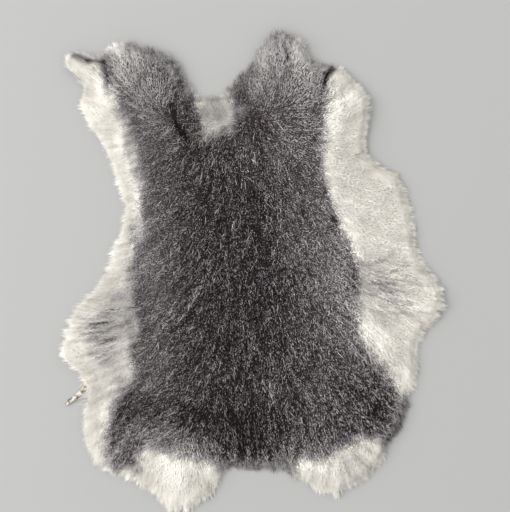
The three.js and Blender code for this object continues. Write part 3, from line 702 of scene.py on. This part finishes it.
def growHair():
    x, y = scatterRoots(hair["gap"], 1.0)
    rimX, rimY = scatterRoots(fringe["gap"], fringe["depth"])
    fine = np.repeat([False, True], [len(x), len(rimX)])
    x, y = np.concatenate([x, rimX]), np.concatenate([y, rimY])
    count = len(x)
    share = backShare(x, y)
    wayX, wayY = lookUp(wayMaps[0], x, y), lookUp(wayMaps[1], x, y)
    length, lay = pileAt(x, y, share)
    length = np.where(fine, scatter.uniform(*fringe["length"], count), length)
    rim = lookUp(rimMap, x, y)
    flat, steeper, within = pile["atRim"]
    lay = np.maximum(lay, flat - steeper * np.clip(rim / within, 0, 1))
    onBack = share > scatter.random(count)
    side = {name: np.where(onBack, *pair) for name, pair in bySide.items()}
    clumps = [nearestClump(x, y, gap) for gap in bySide["clumpGap"]]
    clumpX, clumpY, number = (np.where(onBack, a, b) for a, b in zip(*clumps))
    clumpSeed = (number % 1000) / 1000
    clumpTurn = (number // 1000 % 1000 / 1000 - 0.5) * side["clumpTurn"]
    stray = scatter.normal(0, 1, count) * side["sway"] * np.where(fine, fringe["sway"], 1.0) + clumpTurn
    dirX = wayX * np.cos(stray) - wayY * np.sin(stray)
    dirY = wayX * np.sin(stray) + wayY * np.cos(stray)
    kind = scatter.random(count)    # the palest lie on top as single guard hairs, the darkest lie deepest
    guard = (kind > guardHair["from"]) & ~fine
    length = length * scatter.uniform(*hair["longer"], count) * np.where(guard, guardHair["longer"], 1.0)
    run = length * lay
    tipX, tipY = x + dirX * run, y + dirY * run
    clumpTipX, clumpTipY = clumpX + dirX * run, clumpY + dirY * run
    pull = side["clumpPull"] * scatter.uniform(*hair["pulled"], count)
    pull *= np.where(guard | fine, guardHair["loose"], 1.0)
    tipX += (clumpTipX - tipX) * pull
    tipY += (clumpTipY - tipY) * pull
    allowed = scatter.uniform(*hair["past"], count)
    shortest, reach = fringe["past"]
    allowed = np.where(fine, reach * scatter.random(count) ** fringe["fewLong"] + shortest, allowed)
    cut = np.ones(count)
    for shorter in (0.85, 0.7, 0.55, 0.42, 0.3, 0.2):
        nowX, nowY = x + (tipX - x) * cut, y + (tipY - y) * cut
        cut = np.where(lookUp(beyondMap, nowX, nowY) > allowed, shorter, cut)
    tipX, tipY = x + (tipX - x) * cut, y + (tipY - y) * cut
    rootTop = lookUp(topMap, x, y)
    rise = length * np.sqrt(1 - lay ** 2)
    rootZ = np.maximum(rootTop - rise - hair["sunk"], lookUp(lowMap, x, y) + hair["overSkin"])
    lift = (clumpSeed - 0.5) * hair["clumpLift"] + (kind - 0.5) * hair["kindLift"]
    lift += scatter.uniform(*hair["unevenTips"], count) * mm
    lowShare, lowFrom = hair["lowRim"]
    lift *= np.clip(rim / lowFrom, lowShare, 1) * side["lift"]
    tipZ = np.maximum(lookUp(topMap, tipX, tipY) + lift, hair["lowestTip"])
    middleX = x + (tipX - x) * hair["waist"]
    middleY = y + (tipY - y) * hair["waist"]
    bow = scatter.normal(0, hair["bow"], count) * run
    middleX -= dirY * bow
    middleY += dirX * bow
    tipZ += guard * onBack * guardHair["raised"]
    arch, highest = hair["arch"]
    middleZ = np.minimum(rootZ + (tipZ - rootZ) * hair["waistRise"] + arch,
                         lookUp(topMap, middleX, middleY) + highest)
    middleZ += guard * onBack * guardHair["arched"]
    width = side["width"] * scatter.uniform(*hair["wider"], count)
    width *= np.where(guard & onBack, guardHair["thinner"], 1.0)
    thinShare, thinFrom = hair["thinRim"]
    width *= np.clip(thinShare + rim / thinFrom, thinShare, 1)
    fineWidth = fringe["width"] * scatter.uniform(*fringe["wider"], count)
    return {
        "root": np.column_stack([x, y, rootZ]),
        "middle": np.column_stack([middleX, middleY, middleZ]),
        "tip": np.column_stack([tipX, tipY, tipZ]),
        "share": share,
        "clump": clumpSeed,
        "kind": kind,
        "guard": guard,
        "fine": fine,
        "rim": rim,
        "width": np.where(fine, fineWidth, width),
        "soft": side["soft"],
        "plump": side["plump"],
    }


def strongest(patches, x, y):    # where patches meet, the stronger one counts
    amount = np.zeros(len(x))
    for _, *patch, strength in patches:
        amount = np.maximum(amount, strength * nearness(x, y, *patch))
    return amount


uneven = {    # how single hairs differ in tone
    # everywhere, and what the grey's grain adds: from hair to hair, from clump to clump, along locks
    "single": (0.010, 0.02), "clump": (0.02, 0.17), "lock": (0.022, 0.034),
    "strays": 0.3,    # single hairs that cross the line, as a share of how far clumps do
    "greyLocks": (1.9 * mm, 9, 21), "whiteLocks": (1.7 * mm, 15, 23),    # how fine, how long, seed
    "depth": (0.02, 0.36), "guard": 0.06,    # the grain itself: deep hairs are darker, guard hairs paler
    "finer": (0.12, 0.28, 0.5),    # paler grey is finer grained: from which tone, over what, how much
    "rootDarker": 0.85, "lessAtRim": 0.7,    # in the grey
    "tip": (0.04, 0.18), "fineTip": 0.10,
    "tickedRoot": 0.30, "tickedMiddle": 0.05, "tickedLocks": 0.19, "tickedTip": 0.10,
    "partedLocks": (1.2 * mm, 9, 22),
    "rim": 11 * mm, "rimPaintedShade": (0.05, 0.02),    # painted shade: white rims are a little darker where the coat slopes down, on the right more, away from the light
}


def toneHair(grown):
    count = len(grown["share"])
    halfway = (grown["root"] + grown["tip"]) / 2
    x, y = halfway[:, 0], halfway[:, 1]
    mingling = scatter.normal(0, uneven["strays"] * toning["mingling"] * mm, (2, count))
    mingling[0] += (grown["clump"] - 0.5) * 2 * toning["mingling"] * mm    # whole clumps cross the line
    base = toneAt(x, y, *mingling)
    grey = np.clip(backShare(x, y, *mingling) * 1.3 - 0.1, 0, 1)
    grain = grey * (1 - strongest(toning["even"], x, y))
    fromTone, over, finer = uneven["finer"]
    grain *= 1 - finer * np.clip((base - fromTone) / over, 0, 1)
    ticking = strongest(toning["ticking"], x, y)
    lockKinds = ("greyLocks", "whiteLocks", "partedLocks")
    greyLocks, whiteLocks, parted = (streaks((x, y), *uneven[name]) for name in lockKinds)
    locks = np.where(grey > 0.5, greyLocks, whiteLocks)
    parted = np.clip(parted, -0.6, 2)
    rimward = np.clip(1 - grown["rim"] / uneven["rim"], 0, 1)
    shade = grown["kind"] - 0.5
    single, clump, lock = (uneven[name][0] + uneven[name][1] * grain for name in ("single", "clump", "lock"))
    root = base * (1 - uneven["rootDarker"] * grey * (1 - uneven["lessAtRim"] * rimward))
    root -= uneven["tickedRoot"] * ticking
    middle = base + scatter.normal(0, single, count) + (grown["clump"] - 0.5) * clump + locks * lock
    middle += (uneven["depth"][0] + uneven["depth"][1] * shade + uneven["guard"] * grown["guard"]) * grain
    middle -= ticking * (uneven["tickedMiddle"] + uneven["tickedLocks"] * parted)
    # painted shade on the white rims, more on the right, away from the light
    middle -= np.where(x > 0, *uneven["rimPaintedShade"]) * rimward * (1 - grey)
    tip = middle + (uneven["tip"][0] + uneven["tip"][1] * shade) * grain
    tip += uneven["tickedTip"] * ticking + uneven["fineTip"] * grown["fine"] * grey
    return [np.clip(tone, 0.01, 0.99) for tone in (root, middle, tip)]


def coatSlope(x, y):    # which way the smoothed coat faces
    smooth = topMap.copy()
    for _ in range(6):
        smooth = (smooth + np.roll(smooth, 1, 0) + np.roll(smooth, -1, 0)
                  + np.roll(smooth, 1, 1) + np.roll(smooth, -1, 1)) / 5
    alongY, alongX = np.gradient(smooth, mapSet["step"])
    even = hair["evenness"]
    facing = np.column_stack([-lookUp(alongX, x, y) * even, -lookUp(alongY, x, y) * even, np.ones(len(x))])
    return facing / np.linalg.norm(facing, axis=1)[:, None]


def buildHairMesh(name, grown, tones, chosen):
    root, middle, tip = (grown[part][chosen] for part in ("root", "middle", "tip"))
    width = grown["width"][chosen][:, None]
    along = tip - root
    side = np.column_stack([-along[:, 1], along[:, 0], np.zeros(len(along))])
    side /= np.linalg.norm(side, axis=1)[:, None] + 1e-12
    ridge = np.cross(along, side)
    ridge /= np.linalg.norm(ridge, axis=1)[:, None] + 1e-12
    count = len(root)
    points = np.stack([root, middle - side * width / 2, middle + side * width / 2,
                       middle + ridge * width * grown["plump"][chosen][:, None], tip], axis=1)
    aside = hair["sideFace"] * side
    own = np.stack([ridge, ridge - aside, ridge + aside, ridge, ridge], axis=1)
    own /= np.linalg.norm(own, axis=2)[:, :, None]
    soft = grown["soft"][chosen][:, None, None]
    slope = coatSlope(middle[:, 0], middle[:, 1])
    facing = own * (1 - soft) + slope[:, None, :] * soft
    facing /= np.linalg.norm(facing, axis=2)[:, :, None]
    below = -ridge * hair["lowerFace"] * (1 - soft[:, 0]) + slope * hair["lowerSlope"] * soft[:, 0]
    below /= np.linalg.norm(below, axis=1)[:, None]
    # root, left and right of the waist, its top, tip: the two lower faces first
    faces = np.array([(0, 2, 1), (1, 2, 4), (0, 3, 2), (0, 1, 3), (2, 3, 4), (3, 1, 4)])
    cornerFacing = facing[:, faces]
    cornerFacing[:, :2] = below[:, None, None, :]
    corners = ((np.arange(count) * 5)[:, None, None] + faces).ravel()
    mesh = bpy.data.meshes.new(name)
    mesh.vertices.add(count * 5)
    mesh.vertices.foreach_set("co", points.ravel())
    mesh.loops.add(len(corners))
    mesh.loops.foreach_set("vertex_index", corners)
    mesh.polygons.add(count * len(faces))
    mesh.polygons.foreach_set("loop_start", np.arange(count * len(faces)) * 3)
    mesh.polygons.foreach_set("loop_total", np.full(count * len(faces), 3))
    mesh.update(calc_edges=True)
    tone = np.column_stack([tones[0][chosen]] + [tones[1][chosen]] * 3 + [tones[2][chosen]]).ravel()
    rootToTip = np.tile([0.0, 0.6, 0.6, 0.6, 1.0], count)
    uv = mesh.uv_layers.new(name="OFBake")
    uv.data.foreach_set("uv", np.column_stack([tone[corners], rootToTip[corners]]).ravel())
    piece = addPiece(name, mesh)
    bpy.ops.object.shade_smooth()
    mesh.normals_split_custom_set(cornerFacing.reshape(-1, 3).tolist())
    return piece


coat = growHair()
coatTones = toneHair(coat)
coatObjects = {}
print("hair grown,", len(coat["share"]), "hairs")
rootX, rootY = coat["root"][:, 0] / mm, coat["root"][:, 1] / mm
inGrey = coat["share"] > 0.5
for slot, material, side in (("grey_fur", greyFur, inGrey), ("white_fur", whiteFur, ~inGrey)):
    for name, part in coatPieces[slot].items():
        chosen = side & part(rootX, rootY)
        coatObjects[name] = buildHairMesh(name, coat, coatTones, chosen)
        coatObjects[name].data.materials.append(material)
        print(name, int(chosen.sum()), "hairs")


# The tanned skin under the fur: the solid's own lower side, given its thickness and creased a little

skin = {"thickness": 1.2 * mm, "cell": 12 * mm, "buckle": 0.35 * mm, "buckleScale": 0.03, "flatArea": 0.078}


def addSkin():
    piece = copyOfSolid("tanned_skin")
    mesh = piece.data
    downward = [(face.center.xy.length, face.index) for face in mesh.polygons if face.normal.z < -0.9]
    bpy.ops.object.mode_set(mode="EDIT")
    bpy.ops.mesh.select_mode(type="FACE")
    bpy.ops.mesh.select_all(action="DESELECT")
    bpy.ops.object.mode_set(mode="OBJECT")
    mesh.polygons[min(downward)[1]].select = True
    bpy.ops.object.mode_set(mode="EDIT")
    bpy.ops.mesh.faces_select_linked_flat(sharpness=0.6)
    bpy.ops.mesh.select_all(action="INVERT")
    bpy.ops.mesh.delete(type="FACE")
    bpy.ops.mesh.select_all(action="SELECT")
    bpy.ops.mesh.dissolve_limited(angle_limit=0.01)
    for axis, low, high in ((0, cadLow.x, cadHigh.x), (1, cadLow.y, cadHigh.y)):
        for cut in np.arange(low, high, skin["cell"]):
            place, normal = [0, 0, 0], [0, 0, 0]
            place[axis], normal[axis] = cut, 1
            bpy.ops.mesh.select_all(action="SELECT")
            bpy.ops.mesh.bisect(plane_co=place, plane_no=normal)
    bpy.ops.object.mode_set(mode="OBJECT")
    applyModifier(piece, "DISPLACE", texture=makeClouds("buckling", skin["buckleScale"]),
                  texture_coords="LOCAL", direction="Z", strength=skin["buckle"], mid_level=0)
    applyModifier(piece, "SOLIDIFY", thickness=skin["thickness"], offset=-1)
    bpy.ops.object.shade_smooth_by_angle(angle=math.radians(40))
    return piece


# The shred of skin that hangs from the cut edge, as a narrow strip that twists and curls up dry

shred = {
    "route": [
        (-129, -80, 2.4), (-138, -91, 2.0), (-142, -100, 1.3), (-149, -107.5, 1.1), (-158.5, -114, 1.0),
    ],
    "width": 5.0, "thickness": 1.0, "twist": 0.5, "taper": 0.3,
    "curl": 0.16,                           # how much its edges turn up
    "stations": 64, "sides": 14,
    "beads": 0.35, "beadWaves": 38,         # how much it swells where it has dried
    "notches": 0.2, "notchWaves": (1.9, 23), "notchOffset": 2.2,    # how uneven its two edges are
}


def routePoint(route, along):    # a smooth way through the route's points
    place = along * (len(route) - 1)
    before = min(int(place), len(route) - 2)
    share = place - before
    corners = [np.array(route[min(max(before + step, 0), len(route) - 1)], float) for step in (-1, 0, 1, 2)]
    a, b, c, d = corners
    return 0.5 * (2 * b + (c - a) * share + (2 * a - 5 * b + 4 * c - d) * share ** 2
                  + (3 * b - a - 3 * c + d) * share ** 3)


def addShred():
    stations, sides = shred["stations"], shred["sides"]
    shortWaves, longWaves = shred["notchWaves"]
    points = []
    for station in range(stations):
        along = station / stations
        middle = routePoint(shred["route"], along)
        ahead = routePoint(shred["route"], min(along + 0.01, 1)) - middle
        across = np.array([-ahead[1], ahead[0], 0]) / math.hypot(ahead[0], ahead[1])
        size = 1 - shred["taper"] * along
        bead = 1 + shred["beads"] * math.sin(along * shred["beadWaves"]) * along
        roll = shred["twist"] * along
        for side in range(sides):
            angle = 2 * math.pi * side / sides
            offset = shred["notchOffset"] if side > sides / 2 else 0
            waves = math.sin(station * shortWaves + offset) * math.sin(along * longWaves)
            notch = 1 + shred["notches"] * waves
            wide = math.cos(angle) * shred["width"] * size * notch / 2
            high = math.sin(angle) * shred["thickness"] * bead / 2 + shred["curl"] * wide * wide * size
            lift = wide * math.sin(roll) + high * math.cos(roll)
            place = middle + across * (wide * math.cos(roll) - high * math.sin(roll)) + [0, 0, lift]
            points.append((place[0] * mm, place[1] * mm, max(place[2], 0.1) * mm))
    tail = len(points)
    points += [tuple(np.array(shred["route"][0]) * mm), tuple(np.array(shred["route"][-1]) * mm)]
    faces = []
    for side in range(sides):
        beside = (side + 1) % sides
        faces.append((tail, beside, side))
        for station in range(stations - 1):
            row = station * sides
            faces.append((row + side, row + beside, row + sides + beside, row + sides + side))
        faces.append(((stations - 1) * sides + side, (stations - 1) * sides + beside, tail + 1))
    mesh = bpy.data.meshes.new("skin_shred")
    mesh.from_pydata(points, [], faces)
    piece = addPiece("skin_shred", mesh)
    bpy.ops.object.shade_smooth()
    return piece


def markDried(piece, amount):    # how far the skin has dried out, from 0 to 1
    dried = piece.data.attributes.new("dried", "FLOAT", "POINT")
    dried.data.foreach_set("value", np.full(len(piece.data.vertices), amount))


suede = {
    "roughness": 0.85, "sheen": 0.3,
    # place on the ramp, then red, green, blue
    "blotches": [(0.3, (0.50, 0.42, 0.31)), (0.5, (0.66, 0.59, 0.47)), (0.75, (0.78, 0.73, 0.62))],
    "dried": [(0.38, (0.07, 0.05, 0.04)), (0.47, (0.30, 0.26, 0.21)), (0.58, (0.50, 0.47, 0.42))],
    "blotchNoise": (26, 6), "napNoise": (900, 3), "speckNoise": (340, 2),    # scale and detail
    "bump": 0.35, "bumpDepth": 0.4 * mm,
}


def addNoise(nodes, scale, detail):
    noise = nodes.new("ShaderNodeTexNoise")
    setInputs(noise, {"Scale": scale, "Detail": detail})
    return noise


def makeSuede():
    material, nodes, shader = startMaterial("pale_suede", {
        "Roughness": suede["roughness"], "Sheen Weight": suede["sheen"],
    })
    place = nodes.new("ShaderNodeTexCoord")
    blotches = addNoise(nodes, *suede["blotchNoise"])
    colours = nodes.new("ShaderNodeValToRGB")
    fillRamp(colours.color_ramp, suede["blotches"])
    nap = addNoise(nodes, *suede["napNoise"])
    bump = nodes.new("ShaderNodeBump")
    setInputs(bump, {"Strength": suede["bump"], "Distance": suede["bumpDepth"]})
    dried = nodes.new("ShaderNodeAttribute")
    dried.attribute_name = "dried"
    specks = addNoise(nodes, *suede["speckNoise"])
    parched = nodes.new("ShaderNodeValToRGB")
    fillRamp(parched.color_ramp, suede["dried"])
    blend = nodes.new("ShaderNodeMix")
    blend.data_type = "RGBA"
    for noise in (blotches, nap, specks):
        wire(place, "Object", noise, "Vector")
    wire(specks, "Fac", parched, "Fac")
    wire(blotches, "Fac", colours, "Fac")
    wire(dried, "Fac", blend, "Factor")
    wire(colours, "Color", blend, "A")
    wire(parched, "Color", blend, "B")
    wire(blend, "Result", shader, "Base Color")
    wire(nap, "Fac", bump, "Height")
    wire(bump, "Normal", shader, "Normal")
    return material


tanned = addSkin()
strip = addShred()
markDried(tanned, 0.0)
markDried(strip, 1.0)
makeActive(tanned)
strip.select_set(True)
bpy.ops.object.join()
tanned.data.materials.append(makeSuede())
print("skin made,", len(tanned.data.polygons), "faces")


# Floor and light

studio = {
    "floor": (0.297, 0.299, 0.293), "floorRoughness": 0.8,
    "floorSize": 6, "floorHeight": -0.2 * mm,
    "world": 0.96,
    "keyPlace": (-2.2, 0.35, 2.2), "keySize": 2.6, "keyPower": 122,
    "fillPlace": (1.2, 1.0, 3.8), "fillSize": 4.0, "fillPower": 32,
}


def addLight(name, place, size, power):
    bpy.ops.object.light_add(type="AREA", location=place)
    light = bpy.context.object
    light.name = name
    light.data.size = size
    light.data.energy = power
    light.rotation_euler = (Vector((0, 0, 0)) - Vector(place)).to_track_quat("-Z", "Y").to_euler()


def addStudio():
    deselectAll()
    bpy.ops.mesh.primitive_plane_add(size=studio["floorSize"], location=(0, 0, studio["floorHeight"]))
    floor = bpy.context.object
    floor.name = "studio_floor"
    floorLook = {"Base Color": (*studio["floor"], 1), "Roughness": studio["floorRoughness"]}
    floor.data.materials.append(startMaterial("pale_floor", floorLook)[0])
    addLight("key_light", studio["keyPlace"], studio["keySize"], studio["keyPower"])
    addLight("fill_light", studio["fillPlace"], studio["fillSize"], studio["fillPower"])
    world = bpy.data.worlds.new("studio_air")
    world.use_nodes = True
    setInputs(world.node_tree.nodes["Background"], {"Color": (1, 1, 1, 1), "Strength": studio["world"]})
    bpy.context.scene.world = world
    bpy.context.scene.view_settings.view_transform = "Standard"


addStudio()


# What moves with what; the solid that these pieces replace is hidden

for piece in [woolly, tanned, *coatObjects.values()]:
    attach(piece, "root")
    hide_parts("rabbit_pelt")
